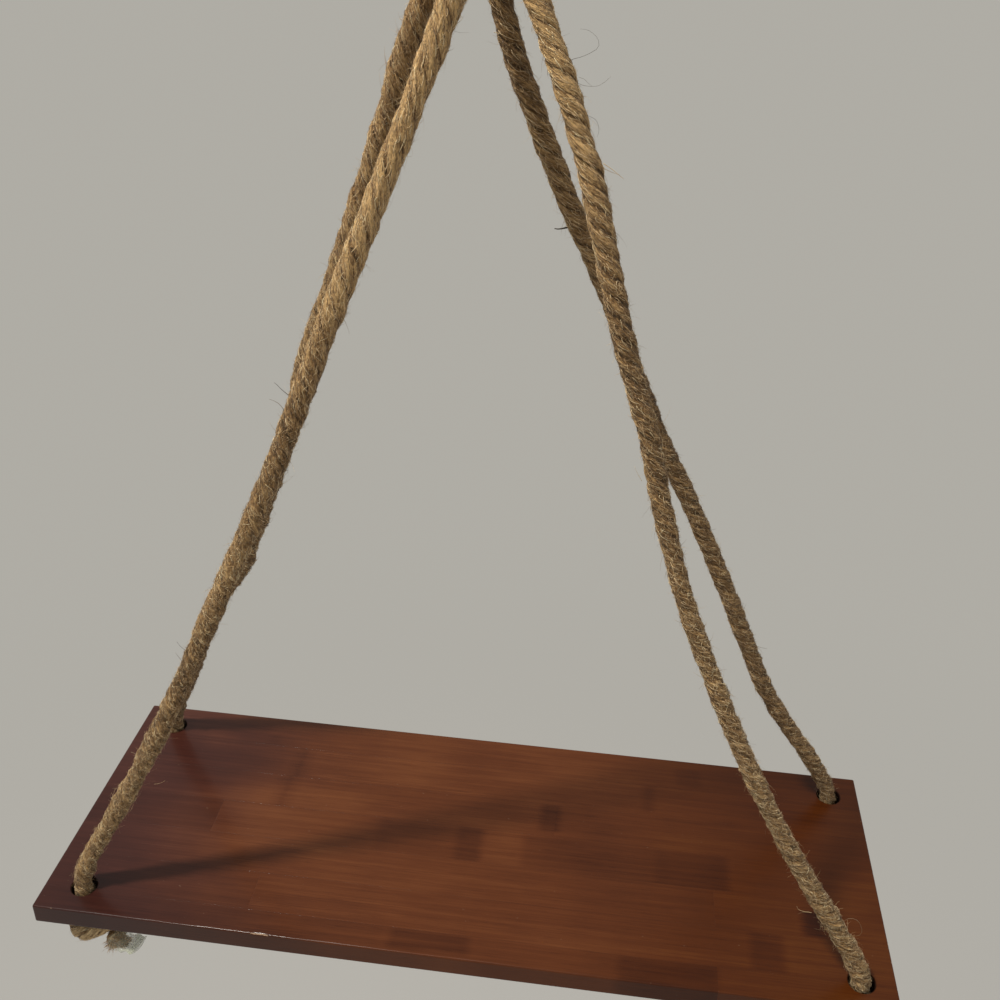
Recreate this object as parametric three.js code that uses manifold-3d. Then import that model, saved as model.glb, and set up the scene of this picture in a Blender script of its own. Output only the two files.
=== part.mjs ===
// Hanging rope shelf: a stained bamboo board carried at its four corners by two jute ropes,
// which are bound together at the top and hang in a steel ring on a screw-in ceiling hook.
// Millimetres. +X runs along the board, +Y to the back, +Z up.
// The origin is on the hook's axis, in the plane of the ceiling.
import * as THREE from "three";
import { mergeVertices } from "three/addons/utils/BufferGeometryUtils.js";
import Module from "manifold-3d";

const wasm = await Module();
wasm.setup();

// Board
const boardLength = 400;
const boardWidth = 147;
const boardThickness = 10.5;
const staveWidth = 22.3; // counted from the back edge, the front one is ripped to what is left
const holeRadius = 6;
const leftHoleInset = 19; // hole axis from the board's left end
const rightHoleInset = 15.5; // hole axis from the board's right end
const edgeHoleInset = 15; // hole axis from the long edges
const cutOverrun = 2;

// Ropes
const ropeDiameter = 10;
const knottedDiameter = 8.6; // the same rope pulled tight in its knot
const knotPitch = 9.6; // from strand to strand inside a knot
const clearance = 0.3;
const ropeSides = 10;
const stationsPerSpan = 2; // sections between two neighbouring points of a bar

// Binding round the four ropes under the ring
const bindingHeight = 15;
const bindingWall = 2;

// Clear tape round each rope end
const tapeWall = 0.5;
const tapeGrip = 6;
const tapeTab = 9; // pinched flat beyond the rope's end
const tapeSpreadShare = 1.3; // width of the tab as a share of the sleeve
const tapeFlatShare = 0.2; // thickness of the tab as a share of the sleeve

// Steel ring
const ringRadius = 18.5; // to the middle of the wire
const ringWire = 5;

// Ceiling hook
const hookWire = 5;
const hookBend = 11; // to the middle of the wire
const hookNeck = 15; // from the middle of the bend to the straight shank
const hookShank = 8.45; // from the neck to the collar
const collarRadius = 7;
const collarThickness = 3;
const threadLength = 22;
const threadCoreRadius = 1.9;
const threadPitch = 2.75;
const threadPlain = 1.2; // plain wire between the collar and the first turn
const threadTip = 5.5;

// The two ropes lie side by side in the ring, and the ring's top hangs on the hook's wire.
const bightTop = 495; // middle of each rope where it passes over the ring, above the board's top
const bightOffset = 5.2; // from the ring's middle to the middle of each rope there
const bightReach = ringRadius - ringWire / 2 - ropeDiameter / 2 - clearance;
const ringCentreHeight = bightTop + Math.sqrt(bightReach ** 2 - bightOffset ** 2);
const hookWireHeight = ringCentreHeight + ringRadius - ringWire / 2 - clearance - hookWire / 2;
const bendHeight = hookWireHeight + hookBend;
const hangHeight = bendHeight + hookNeck + hookShank + collarThickness; // board's top to ceiling
const leftHoleX = leftHoleInset - boardLength / 2;
const rightHoleX = boardLength / 2 - rightHoleInset;
const frontHoleY = edgeHoleInset - boardWidth / 2;
const backHoleY = boardWidth / 2 - edgeHoleInset;

// Where the four ropes stand in the binding, and the height where it starts.
const bindingStart = 424;
const boundRopes = [[-10.5, 4.6], [-5.4, -4.6], [4.9, -4.6], [-0.2, 4.6]];

// Each rope runs from the underside of the left hole, up through the board, round in the ring
// and down to the underside of the right hole. Heights are above the board's top.
const frontRoute = [
  [leftHoleX, frontHoleY, -boardThickness], [-181.4, -58.5, -4], [-181.3, -58.2, 3],
  [-178.6, -57, 13], [-170, -54.7, 29], [-154, -50.9, 58], [-131, -45.3, 104],
  [-106.2, -38.3, 160], [-80.2, -30.7, 220], [-57.1, -23.2, 280], [-33.2, -15.6, 340],
  [-15.5, -9.5, 386], [-7.6, -6.2, 408], [-5.4, -4.6, 424], [-5.4, -4.6, 439], [-7.2, -4.7, 449],
  [-13.2, -4.9, 460], [-18.9, -5.1, 470], [-19.4, -5.2, 480], [-13.9, -5.2, 489.6],
  [0, -bightOffset, bightTop], [13.9, -5.2, 489.6], [19.4, -5.2, 480], [18.7, -5.1, 470],
  [12.7, -4.9, 460], [6.7, -4.7, 449], [4.9, -4.6, 439], [4.9, -4.6, 424], [9, -6.2, 408],
  [19.4, -9.8, 386], [37.3, -15.6, 340], [54.5, -23.2, 280], [65.3, -26.9, 250],
  [73.6, -30.7, 220], [83.2, -34.5, 190], [95.3, -38.3, 160], [122.4, -45.3, 104],
  [149, -50.9, 58], [169.1, -54.9, 28], [179.3, -57.2, 12], [183.6, -58.2, 3],
  [rightHoleX, frontHoleY, -4], [rightHoleX, frontHoleY, -boardThickness],
];
const backRoute = [
  [leftHoleX, backHoleY, -boardThickness], [leftHoleX, backHoleY, -4], [-180.4, 58.2, 3],
  [-178.4, 57, 13], [-172, 54.9, 29], [-164.2, 53, 45], [-159.2, 51.2, 58], [-151, 48.6, 80],
  [-138.8, 45.4, 104], [-125, 42.7, 125], [-119.4, 40.8, 140], [-111, 38.3, 160],
  [-88.6, 30.7, 220], [-79.2, 27, 250], [-66.4, 23.2, 280], [-44.3, 15.6, 340],
  [-27.6, 9.8, 386], [-16.3, 6.3, 408], [-10.5, 4.6, 424], [-10.5, 4.6, 439], [-11.4, 4.7, 449],
  [-15, 4.9, 460], [-18.9, 5.1, 470], [-19.4, 5.2, 480], [-13.9, 5.2, 489.6],
  [0, bightOffset, bightTop], [13.9, 5.2, 489.6], [19.4, 5.2, 480], [17, 5.1, 470],
  [8.8, 4.9, 460], [1.9, 4.7, 449], [-0.2, 4.6, 439], [-0.2, 4.6, 424], [-0.1, 6.3, 408],
  [3, 9.8, 386], [20.3, 15.6, 340], [34, 19.4, 310], [48.2, 23.2, 280], [59.4, 27, 250],
  [72.2, 30.7, 220], [87.6, 34.5, 190], [101.8, 38.3, 160], [126.6, 45.4, 104],
  [137, 48.6, 80], [149.7, 51.2, 58], [170, 54.9, 28], [179.4, 57.2, 12], [183.6, 58.2, 3],
  [rightHoleX, backHoleY, -4], [rightHoleX, backHoleY, -boardThickness],
];

// An overhand knot under the front left hole, with its tail curling to the front,
// as shares of knotPitch from the middle of the hole's lower mouth.
const overhandShares = [
  [0, 0, 0], [0, 0, -0.5], [0.25, 0.1, -1.15], [0.35, 0.25, -1.85], [0.3, 0.7, -2.4],
  [0.2, 1.4, -2.6], [0.3, 2.05, -2.3], [0.6, 2.35, -1.65], [1, 2.15, -1], [1.3, 1.55, -0.65],
  [1.4, 0.8, -0.56], [1.3, 0.05, -0.62], [0.95, -0.6, -0.8], [0.3, -0.9, -1.05],
  [-0.35, -0.65, -1.3], [-0.7, 0, -1.45], [-0.5, 0.7, -1.5], [0.1, 1.15, -1.6],
  [0.8, 1.35, -1.8], [1.4, 1.05, -1.9], [1.7, 0.35, -1.88], [1.9, -0.25, -1.76],
  [2.1, -0.65, -1.66], [2.3, -1.05, -1.56],
];

const bambooColour = 0x643c28;
const ropeColour = 0xa07a48;
const bamboo = () => new THREE.MeshStandardMaterial({
  color: bambooColour, roughness: 0.35, metalness: 0,
});
const jute = () => new THREE.MeshStandardMaterial({
  color: ropeColour, roughness: 0.95, metalness: 0,
});
const steel = () => new THREE.MeshStandardMaterial({
  color: 0xb8b8b4, roughness: 0.3, metalness: 1,
});
const clearTape = () => new THREE.MeshStandardMaterial({
  color: 0xe6e4da, roughness: 0.15, metalness: 0, transparent: true, opacity: 0.4,
});

// Turns a closed geometry into a solid that can be cut and joined.
function solidFrom(geometry) {
  const bare = geometry.clone();
  bare.deleteAttribute("normal");
  bare.deleteAttribute("uv");
  const merged = mergeVertices(bare);
  return new wasm.Manifold(new wasm.Mesh({
    numProp: 3,
    vertProperties: merged.attributes.position.array,
    triVerts: new Uint32Array(merged.index.array),
  }));
}

function geometryFrom(solid) {
  const mesh = solid.getMesh();
  const geometry = new THREE.BufferGeometry();
  geometry.setAttribute("position", new THREE.BufferAttribute(mesh.vertProperties, 3));
  geometry.setIndex(new THREE.BufferAttribute(mesh.triVerts, 1));
  geometry.computeVertexNormals();
  return geometry;
}

function named(name, geometry, material) {
  const mesh = new THREE.Mesh(geometry, material);
  mesh.name = name;
  return mesh;
}

const toVectors = (points) => points.map((point) => new THREE.Vector3(...point));

// A smooth curve whose sections stand at its own points and between them, so they are closest
// together where the points are, in the bends.
class StationCurve extends THREE.CatmullRomCurve3 {
  getUtoTmapping(share) {
    return share;
  }
}

// A round bar along a smooth curve through the points.
function roundBar(points, radius, sides) {
  const section = new THREE.Shape(Array.from({ length: sides }, (_, side) => {
    const angle = (side / sides) * Math.PI * 2;
    return new THREE.Vector2(radius * Math.cos(angle), radius * Math.sin(angle));
  }));
  return new THREE.ExtrudeGeometry(section, {
    steps: (points.length - 1) * stationsPerSpan,
    extrudePath: new StationCurve(toVectors(points)),
  });
}

// The board is glued up from staves that run along it. Some staves are two lengths, butted.
function buildBoard() {
  const buttJointShares = [[], [], [0.6], [0.165], [0.8], [0.25], [0.8]];
  const staveCount = Math.ceil(boardWidth / staveWidth);
  const board = new THREE.Group();
  const holes = [leftHoleX, rightHoleX].flatMap((x) => [frontHoleY, backHoleY].map((y) => {
    const drill = new THREE.CylinderGeometry(
      holeRadius, holeRadius, boardThickness + 2 * cutOverrun, 32,
    );
    drill.rotateX(Math.PI / 2);
    drill.translate(x, y, -boardThickness / 2);
    return { x, y, drill };
  }));
  for (let stave = 0; stave < staveCount; stave += 1) {
    const back = boardWidth / 2 - stave * staveWidth;
    const front = stave === staveCount - 1 ? -boardWidth / 2 : back - staveWidth;
    const joints = buttJointShares[stave % buttJointShares.length];
    const ends = [0, ...joints, 1].map((share) => (share - 0.5) * boardLength);
    for (let piece = 0; piece < ends.length - 1; piece += 1) {
      const [left, right] = [ends[piece], ends[piece + 1]];
      const blank = new THREE.BoxGeometry(right - left, back - front, boardThickness);
      blank.translate((left + right) / 2, (back + front) / 2, -boardThickness / 2);
      const drilled = holes.filter(({ x, y }) => x + holeRadius > left && x - holeRadius < right
        && y + holeRadius > front && y - holeRadius < back);
      let geometry = blank;
      if (drilled.length > 0) {
        const cut = drilled.reduce(
          (solid, hole) => solid.subtract(solidFrom(hole.drill)), solidFrom(blank),
        );
        geometry = geometryFrom(cut);
      }
      const side = ends.length === 2 ? "" : ["_left", "_right"][piece];
      board.add(named(`stave_${stave + 1}${side}`, geometry, bamboo()));
    }
  }
  return board;
}

function buildRopes() {
  const ropes = new THREE.Group();
  const routes = { front_rope: frontRoute, back_rope: backRoute };
  for (const [name, route] of Object.entries(routes)) {
    ropes.add(named(name, roundBar(route, ropeDiameter / 2, ropeSides), jute()));
  }
  return ropes;
}

// Clear tape gripping a rope end and pinched flat beyond it, along +Z from the rope's end face.
function tapeGeometry() {
  const inner = knottedDiameter / 2 + clearance;
  const outer = inner + tapeWall;
  const profile = [
    [0, clearance], [inner, clearance], [inner, -tapeGrip], [outer, -tapeGrip],
    [outer, clearance], [outer, tapeTab * 0.6], [outer, tapeTab], [0, tapeTab],
    [0, clearance],
  ].map((point) => new THREE.Vector2(...point));
  const geometry = new THREE.LatheGeometry(profile, 16);
  geometry.rotateX(Math.PI / 2);
  const place = geometry.attributes.position;
  for (let index = 0; index < place.count; index += 1) {
    const pinch = THREE.MathUtils.smoothstep(place.getZ(index), clearance, tapeTab * 0.6);
    place.setX(index, place.getX(index) * THREE.MathUtils.lerp(1, tapeSpreadShare, pinch));
    place.setY(index, place.getY(index) * THREE.MathUtils.lerp(1, tapeFlatShare, pinch));
  }
  return geometry;
}

// The knots are mirrored from corner to corner, so every tail stays under the board.
function buildKnots() {
  const knots = new THREE.Group();
  const corners = [
    ["front_left", leftHoleX, frontHoleY, 1, 1], ["front_right", rightHoleX, frontHoleY, -1, 1],
    ["back_left", leftHoleX, backHoleY, 1, -1], ["back_right", rightHoleX, backHoleY, -1, -1],
  ];
  for (const [corner, x, y, mirrorX, mirrorY] of corners) {
    const points = overhandShares.map(([across, along, up]) => [
      x + across * mirrorX * knotPitch,
      y + along * mirrorY * knotPitch,
      up * knotPitch - boardThickness - clearance,
    ]);
    const knot = roundBar(points, knottedDiameter / 2, ropeSides);
    knots.add(named(`${corner}_knot`, knot, jute()));

    const [before, end] = toVectors(points.slice(-2));
    const tape = named(`${corner}_tape`, tapeGeometry(), clearTape());
    tape.position.copy(end);
    tape.quaternion.setFromUnitVectors(
      new THREE.Vector3(0, 0, 1), end.clone().sub(before).normalize(),
    );
    knots.add(tape);
  }
  return knots;
}

// The outline round the four bound ropes, at the given distance from their middles.
function bundleOutline(distance) {
  const arcSteps = 5;
  const count = boundRopes.length;
  return boundRopes.flatMap((rope, index) => {
    const here = new THREE.Vector2(...rope);
    const before = new THREE.Vector2(...boundRopes[(index + count - 1) % count]);
    const after = new THREE.Vector2(...boundRopes[(index + 1) % count]);
    const arrival = here.clone().sub(before).angle();
    const turn = (after.clone().sub(here).angle() - arrival + 2 * Math.PI) % (2 * Math.PI);
    return Array.from({ length: arcSteps + 1 }, (_, step) => {
      const angle = arrival - Math.PI / 2 + (turn * step) / arcSteps;
      return new THREE.Vector2(Math.cos(angle), Math.sin(angle)).multiplyScalar(distance).add(here);
    });
  });
}

function buildBinding() {
  const inner = ropeDiameter / 2 + clearance;
  const section = new THREE.Shape(bundleOutline(inner + bindingWall));
  section.holes.push(new THREE.Path(bundleOutline(inner)));
  const sleeve = new THREE.ExtrudeGeometry(section, {
    depth: bindingHeight, bevelEnabled: false,
  });
  sleeve.translate(0, 0, bindingStart);
  return named("rope_binding", sleeve, jute());
}

function buildRing() {
  const ring = new THREE.TorusGeometry(ringRadius, ringWire / 2, 12, 40);
  ring.rotateY(Math.PI / 2);
  ring.translate(0, 0, ringCentreHeight);
  return named("hanging_ring", ring, steel());
}

// A wire hook with a collar that stops against the ceiling and a wood thread above it.
function buildHook() {
  const half = hookWire / 2;
  const bend = (degrees) => [
    hookBend * Math.cos(THREE.MathUtils.degToRad(degrees)), 0,
    bendHeight + hookBend * Math.sin(THREE.MathUtils.degToRad(degrees)),
  ];
  const wirePath = [
    [0, 0, hangHeight - collarThickness / 2], [0, 0, bendHeight + hookNeck],
    bend(52), bend(25), bend(0), bend(-30), bend(-60), bend(-90), bend(-120), bend(-150),
    bend(180), bend(158), [-hookBend * 1.08, 0, bendHeight + hookBend * 0.72],
  ];
  const wire = roundBar(wirePath, half, 12);

  const tip = new THREE.SphereGeometry(half * 1.04, 12, 8);
  tip.translate(...wirePath[wirePath.length - 1]);

  const threadStart = hangHeight + threadPlain;
  const turns = Math.floor((threadLength - threadTip - threadPlain) / threadPitch);
  const profile = [
    [0, hangHeight - collarThickness], [collarRadius * 0.8, hangHeight - collarThickness],
    [collarRadius, hangHeight - collarThickness * 0.7], [collarRadius, hangHeight],
    [half, hangHeight], [half, threadStart],
  ];
  for (let turn = 0; turn < turns; turn += 1) {
    const foot = threadStart + turn * threadPitch;
    profile.push([threadCoreRadius, foot + threadPitch * 0.3]);
    profile.push([half, foot + threadPitch * 0.6]);
    profile.push([threadCoreRadius, foot + threadPitch * 0.9]);
  }
  profile.push([threadCoreRadius, hangHeight + threadLength - threadTip]);
  profile.push([0, hangHeight + threadLength]);
  const shank = new THREE.LatheGeometry(profile.map((point) => new THREE.Vector2(...point)), 20);
  shank.rotateX(Math.PI / 2);

  const joined = solidFrom(wire).add(solidFrom(tip)).add(solidFrom(shank));
  return named("ceiling_hook", geometryFrom(joined), steel());
}

const shelf = new THREE.Group();
shelf.add(buildBoard(), buildRopes(), buildKnots(), buildBinding(), buildRing(), buildHook());
shelf.position.z = -hangHeight;

export default shelf;
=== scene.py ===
import math

import bpy
import numpy as np
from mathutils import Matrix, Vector


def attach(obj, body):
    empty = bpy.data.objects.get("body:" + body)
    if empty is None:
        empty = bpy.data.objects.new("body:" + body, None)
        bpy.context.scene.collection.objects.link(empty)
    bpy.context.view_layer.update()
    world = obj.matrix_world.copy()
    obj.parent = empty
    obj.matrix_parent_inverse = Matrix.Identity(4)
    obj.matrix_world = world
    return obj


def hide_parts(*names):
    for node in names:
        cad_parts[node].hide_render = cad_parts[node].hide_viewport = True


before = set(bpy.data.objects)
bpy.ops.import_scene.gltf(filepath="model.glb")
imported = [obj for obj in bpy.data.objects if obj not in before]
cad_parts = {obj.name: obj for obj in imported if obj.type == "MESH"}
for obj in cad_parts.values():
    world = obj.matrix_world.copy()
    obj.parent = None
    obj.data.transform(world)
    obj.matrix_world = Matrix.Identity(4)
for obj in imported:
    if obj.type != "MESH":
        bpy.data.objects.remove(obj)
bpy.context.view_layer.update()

# Hanging rope shelf: bamboo board, two jute ropes, knots and clear tape, twine binding, ring, hook.
# Blender works in metres. The pieces are worked out in millimetres and turned to metres last.
mm = 0.001
hangHeight = 555.001  # from the board's top up to the ceiling, where the origin is

camera = {
    "place": (52.94, -409.73, 431.96),  # mm, from the middle of the board's top
    "turn": (60.5055, -1.5574, 7.188),  # degrees about X, Y and Z
    "lens": 40.35, "sensor": 36, "clipStart": 0.01,  # mm, mm and m
}

# The route of each rope in mm, heights above the board's top: from the underside of its left
# hole over the ring and down to the underside of its right hole.
frontRoute = [
    (-181, -58.5, -10.5), (-181.4, -58.5, -4), (-181.3, -58.2, 3), (-178.6, -57, 13),
    (-170, -54.7, 29), (-154, -50.9, 58), (-131, -45.3, 104), (-106.2, -38.3, 160),
    (-80.2, -30.7, 220), (-57.1, -23.2, 280), (-33.2, -15.6, 340), (-15.5, -9.5, 386),
    (-7.6, -6.2, 408), (-5.4, -4.6, 424), (-5.4, -4.6, 439), (-7.2, -4.7, 449),
    (-13.2, -4.9, 460), (-18.9, -5.1, 470), (-19.4, -5.2, 480), (-13.9, -5.2, 489.6),
    (0, -5.2, 495), (13.9, -5.2, 489.6), (19.4, -5.2, 480), (18.7, -5.1, 470), (12.7, -4.9, 460),
    (6.7, -4.7, 449), (4.9, -4.6, 439), (4.9, -4.6, 424), (9, -6.2, 408), (19.4, -9.8, 386),
    (37.3, -15.6, 340), (54.5, -23.2, 280), (65.3, -26.9, 250), (73.6, -30.7, 220),
    (83.2, -34.5, 190), (95.3, -38.3, 160), (122.4, -45.3, 104), (149, -50.9, 58),
    (169.1, -54.9, 28), (179.3, -57.2, 12), (183.6, -58.2, 3), (184.5, -58.5, -4),
    (184.5, -58.5, -10.5),
]
backRoute = [
    (-181, 58.5, -10.5), (-181, 58.5, -4), (-180.4, 58.2, 3), (-178.4, 57, 13), (-172, 54.9, 29),
    (-164.2, 53, 45), (-159.2, 51.2, 58), (-151, 48.6, 80), (-138.8, 45.4, 104),
    (-125, 42.7, 125), (-119.4, 40.8, 140), (-111, 38.3, 160), (-88.6, 30.7, 220),
    (-79.2, 27, 250), (-66.4, 23.2, 280), (-44.3, 15.6, 340), (-27.6, 9.8, 386),
    (-16.3, 6.3, 408), (-10.5, 4.6, 424), (-10.5, 4.6, 439), (-11.4, 4.7, 449), (-15, 4.9, 460),
    (-18.9, 5.1, 470), (-19.4, 5.2, 480), (-13.9, 5.2, 489.6), (0, 5.2, 495), (13.9, 5.2, 489.6),
    (19.4, 5.2, 480), (17, 5.1, 470), (8.8, 4.9, 460), (1.9, 4.7, 449), (-0.2, 4.6, 439),
    (-0.2, 4.6, 424), (-0.1, 6.3, 408), (3, 9.8, 386), (20.3, 15.6, 340), (34, 19.4, 310),
    (48.2, 23.2, 280), (59.4, 27, 250), (72.2, 30.7, 220), (87.6, 34.5, 190), (101.8, 38.3, 160),
    (126.6, 45.4, 104), (137, 48.6, 80), (149.7, 51.2, 58), (170, 54.9, 28), (179.4, 57.2, 12),
    (183.6, 58.2, 3), (184.5, 58.5, -4), (184.5, 58.5, -10.5),
]


# Shader maths

class Feed:  # one output of a shader node, which can stand in a sum
    def __init__(self, node, output=0):
        self.tree = node.id_data
        self.socket = node.outputs[output] if node.outputs else None

    def maths(self, operation, *values):
        return addNode(self.tree, "Math", {"operation": operation}, dict(enumerate(values)))

    def __add__(self, other):
        return self.maths("ADD", self, other)

    def __sub__(self, other):
        return self.maths("SUBTRACT", self, other)

    def __rsub__(self, other):
        return self.maths("SUBTRACT", other, self)

    def __mul__(self, other):
        return self.maths("MULTIPLY", self, other)

    def __pow__(self, other):
        return self.maths("POWER", self, other)

    __radd__ = __add__
    __rmul__ = __mul__

    def least(self, other):
        return self.maths("MINIMUM", self, other)

    def most(self, other):
        return self.maths("MAXIMUM", self, other)

    def away(self, other):
        return self.maths("ABSOLUTE", self - other)

    def ramp(self, low, high, atLow=0.0, atHigh=1.0):  # smooth step between two values
        return addNode(self.tree, "MapRange", {"interpolation_type": "SMOOTHSTEP"},
                       {"Value": self, "From Min": low, "From Max": high,
                        "To Min": atLow, "To Max": atHigh})

    def band(self, start, stop, soft):  # 1 between the two values, 0 outside them
        return self.ramp(start - soft, start + soft) * self.ramp(stop - soft, stop + soft, 1, 0)


def addNode(tree, kind, settings, values, output=0):
    node = tree.nodes.new("ShaderNode" + kind)
    for name, value in settings.items():
        if name == "stops":
            elements = node.color_ramp.elements
            while len(elements) < len(value):
                elements.new(0.5)
            for element, (place, colour) in zip(elements, value):
                element.position = place
                element.color = (*colour, 1)
        else:
            setattr(node, name, value)
    for name, value in values.items():
        if isinstance(value, Feed):
            tree.links.new(value.socket, node.inputs[name])
        elif node.inputs[name].type == "RGBA":
            node.inputs[name].default_value = (*value, 1)
        else:
            node.inputs[name].default_value = value
    return Feed(node, output)


class Finish:  # a material in the making, or the world
    def __init__(self, name, kind="materials"):
        self.owner = getattr(bpy.data, kind).new(name)
        self.owner.use_nodes = True
        self.tree = self.owner.node_tree
        self.tree.nodes.clear()

    def node(self, kind, settings=None, values=None, output=0):
        return addNode(self.tree, kind, settings or {}, values or {}, output)

    def split(self, vector):  # into its three values
        node = self.node("SeparateXYZ", {}, {0: vector}).socket.node
        return [Feed(node, axis) for axis in range(3)]

    def place(self):  # object coordinates in mm, as three values
        return [axis * (1 / mm) for axis in self.split(self.node("TexCoord", output="Object"))]

    def mark(self, name):  # what the mesh's points carry under this name
        return self.node("Attribute", {"attribute_name": name}, output="Fac")

    def mix(self, share, first, second):  # colours
        return self.node("Mix", {"data_type": "RGBA"}, {0: share, 6: first, 7: second}, 2)

    def noise(self, place, detail=2.0, roughness=0.5, distortion=0.0, scale=1.0):
        spot = self.node("CombineXYZ", {}, dict(enumerate(place)))
        return self.node("TexNoise", {}, {"Vector": spot, "Scale": scale, "Detail": detail,
                                          "Roughness": roughness, "Distortion": distortion})

    def ramp(self, value, stops):
        return self.node("ValToRGB", {"stops": stops}, {0: value})

    def shade(self, values, bump=None, height=0.0):
        if bump is not None:
            values = {**values, "Normal": self.node(
                "Bump", {}, {"Strength": 1.0, "Distance": height * mm, "Height": bump})}
        self.node("OutputMaterial", {}, {"Surface": self.node("BsdfPrincipled", {}, values)})
        return self.owner


# Geometry helpers

def alongLine(line):  # how far along the line each point lies
    return np.concatenate([[0], np.cumsum(np.linalg.norm(np.diff(line, axis=0), axis=1))])


def between(at, places, points):  # the line's points at other places along it
    return np.stack([np.interp(at, places, axis) for axis in np.transpose(points)], 1)


def smoothLine(points, step, cuts=40):
    # A centripetal Catmull-Rom curve through the points, cut at even steps along its length.
    p = np.array(points, float)
    p = np.vstack([2 * p[0] - p[1], p, 2 * p[-1] - p[-2]])
    t = np.linspace(0, 1, cuts, endpoint=False)[:, None]
    pieces = []
    for a, b, c, d in zip(p, p[1:], p[2:], p[3:]):
        ab, bc, cd = (max(np.linalg.norm(v) ** 0.5, 1e-6) for v in (b - a, c - b, d - c))
        m1 = ((b - a) / ab - (c - a) / (ab + bc) + (c - b) / bc) * bc
        m2 = ((c - b) / bc - (d - b) / (bc + cd) + (d - c) / cd) * bc
        pieces.append((2 * t**3 - 3 * t**2 + 1) * b + (t**3 - 2 * t**2 + t) * m1
                      + (3 * t**2 - 2 * t**3) * c + (t**3 - t**2) * m2)
    fine = np.vstack(pieces + [p[-2][None]])
    along = alongLine(fine)
    return between(np.linspace(0, along[-1], max(4, round(along[-1] / step) + 1)), along, fine)


def unit(vectors):
    return vectors / np.maximum(np.linalg.norm(vectors, axis=-1, keepdims=True), 1e-12)


def frames(line):
    # Two normals at each point, carried along the line without twisting.
    tangent = unit(np.gradient(line, axis=0))
    normal = np.zeros_like(line)
    last = np.array((0, -1.0, 0))
    for i, t in enumerate(tangent):
        last = last - t * (last @ t)
        last /= np.linalg.norm(last)
        normal[i] = last
    return normal, np.cross(tangent, normal)


def wander(rng, along, wavelength, amount):
    # A smooth random curve along a length.
    count = max(4, int((along[-1] - along[0]) / wavelength) + 4)
    values = rng.normal(0, amount, count)
    at = np.linspace(along[0], along[-1], count)
    fine = np.interp(along, at, values)
    reach = max(1, int(len(along) * 0.5 / count))
    kernel = np.hanning(2 * reach + 3)[1:-1]
    return np.convolve(np.pad(fine, reach, "edge"), kernel / kernel.sum(), "valid")


def circle(sides):  # the angles of a ring's points
    return np.arange(sides) * 2 * math.pi / sides


def raised(points):  # from heights above the board's top to the frame's own heights
    return np.asarray(points, float) - (0, 0, hangHeight)


def makeObject(name, points, faces, material, smooth=True):
    mesh = bpy.data.meshes.new(name)
    mesh.from_pydata([tuple(p) for p in raised(points).reshape(-1, 3) * mm], [], faces)
    mesh.materials.append(material)
    mesh.shade_smooth() if smooth else mesh.shade_flat()
    return linked(name, mesh)


def linked(name, data):
    piece = bpy.data.objects.new(name, data)
    bpy.context.scene.collection.objects.link(piece)
    return piece


def mark(piece, label, values):  # a value that each point of the mesh carries
    layer = piece.data.attributes.new(label, "FLOAT", "POINT")
    layer.data.foreach_set("value", np.asarray(values, np.float32).ravel())


def settle(body, slot, *parts):  # the body that the parts ride on; the slot, what they are made of, is not used
    for part in parts:
        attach(part, body)


def lathe(name, profile, sides, material, x=0, y=0):  # radii and heights, turned
    points = [(x + r * math.cos(a), y + r * math.sin(a), z) for r, z in profile
              for a in circle(sides)]
    return makeObject(name, points, gridFaces(len(profile), sides), material)


def gridFaces(rows, sides, closed=True):
    i = np.arange(rows - 1)[:, None] * sides
    j = np.arange(sides)[None, :]
    faces = np.stack([i + j, i + (j + 1) % sides, i + sides + (j + 1) % sides, i + sides + j], -1)
    faces = faces.reshape(-1, 4).tolist()
    if closed:
        faces += [list(reversed(range(sides))), [(rows - 1) * sides + k for k in range(sides)]]
    return faces


# Laid rope: strands wound round each other, each with its own yarns

rope = {
    "diameter": 10, "lay": 27, "strands": 3, "columns": 28,  # columns of mesh on each strand
    "strandShare": 0.82, "step": 1.0,  # strand radius as a share of the rope's radius
    "yarns": 13, "yarnDepth": 0.24, "yarnTwist": -48, "roughness": 0.16,  # of the matted surface
    # How the lay, the strands' size and place and the yarns' twist vary: over how many mm, by what
    "slack": (45, 0.2), "unevenness": (14, 0.06), "shift": (11, 0.06), "yarnDrift": (25, 0.3),
    "girthLumps": (7, 0.07),  # the same for a long rope's girth
    "fibres": 8.6, "down": 12.2,  # on each mm of a long rope
    "seeds": {"laid": 11, "lumps": 21, "matted": 31, "loose": 51, "down": 61, "crossed": 71},
}


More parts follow.
